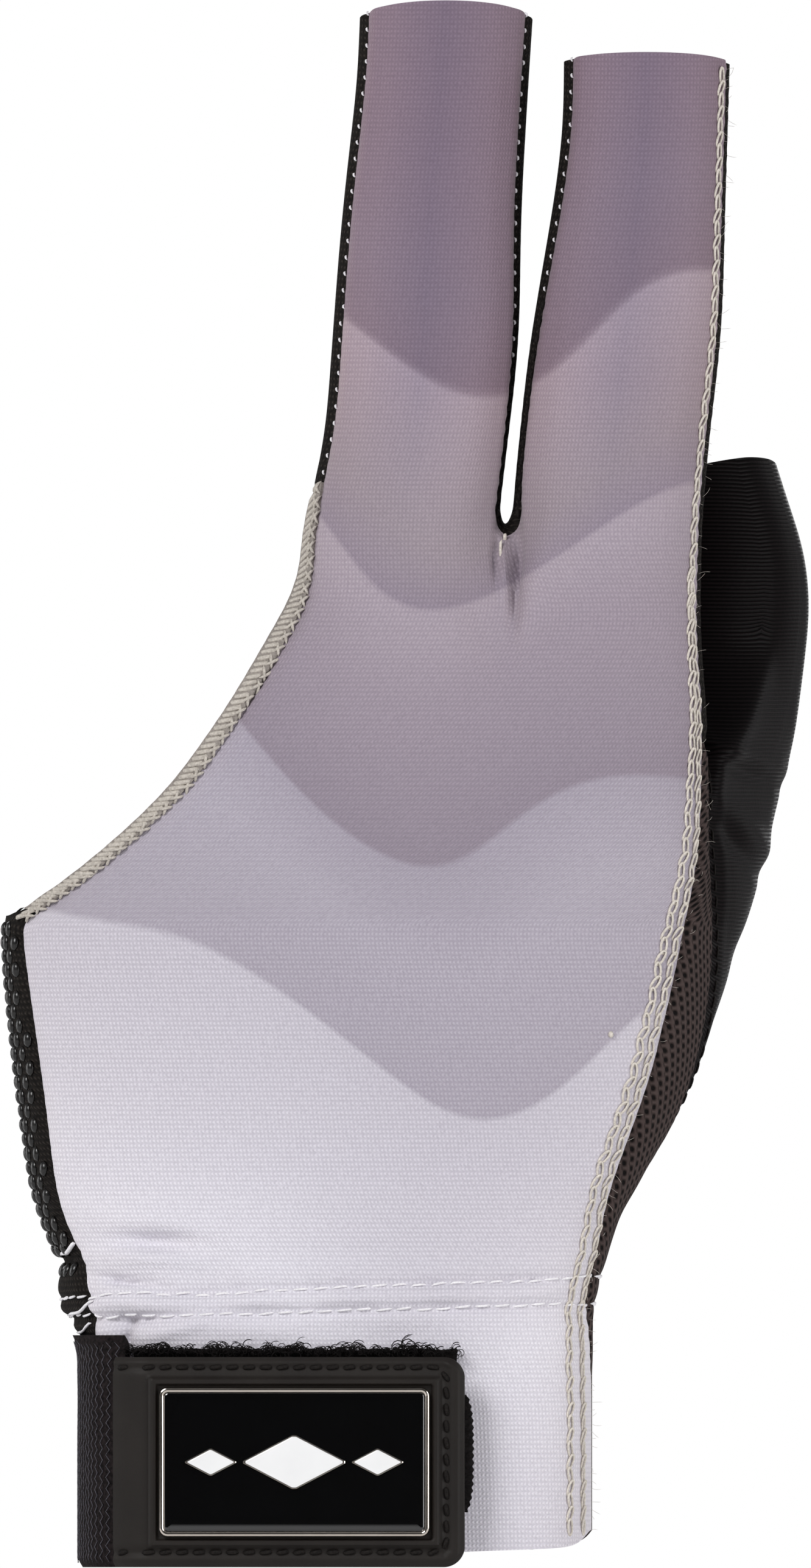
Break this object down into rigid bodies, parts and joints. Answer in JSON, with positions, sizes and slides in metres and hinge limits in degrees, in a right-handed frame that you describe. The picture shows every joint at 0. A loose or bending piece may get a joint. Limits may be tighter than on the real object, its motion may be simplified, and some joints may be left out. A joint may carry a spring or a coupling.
{
  "type": "billiard glove",
  "caption": "Left-hand billiard glove in stretch cloth, in its worn form, with open fingertips, an open side for the ring and little fingers, and a strap with a rubber tab at the wrist.",
  "frame": {"origin": "middle of the cuff's mouth, where the hand and wrist go in", "axes": "+Z along the fingers, +X towards the thumb, -Y out of the back of the hand"},
  "size_m": [0.1032, 0.069, 0.1997],
  "materials": {
    "printed_cloth": "smooth stretch cloth with a printed pattern of wavy bands",
    "grip_cloth": "black knit with small raised grip beads",
    "mesh_cloth": "open mesh knit",
    "sleek_cloth": "smooth stretch cloth with a sheen",
    "pale_thread": "overlocked pale thread",
    "loop_pile": "fuzzy loop pile",
    "woven_hook": "woven tape with hooks",
    "elastic": "knitted elastic",
    "rubber": "matt soft rubber",
    "nickel": "polished nickel plating",
    "black_enamel": "glossy enamel",
    "white_enamel": "glossy enamel"
  },
  "bodies": {
    "root": {"back_panel": "printed_cloth", "palm_panel": "grip_cloth", "side_gusset": "mesh_cloth", "thumb_sleeve": "sleek_cloth", "opening_hem": "pale_thread", "loop_patch": "loop_pile", "hook_strip": "woven_hook", "strap_elastic": "elastic", "strap_tab": "rubber", "badge_frame": "nickel", "badge_enamel": "black_enamel", "badge_emblem_1": "white_enamel", "badge_emblem_2": "white_enamel", "badge_emblem_3": "white_enamel"}
  },
  "joints": []
}
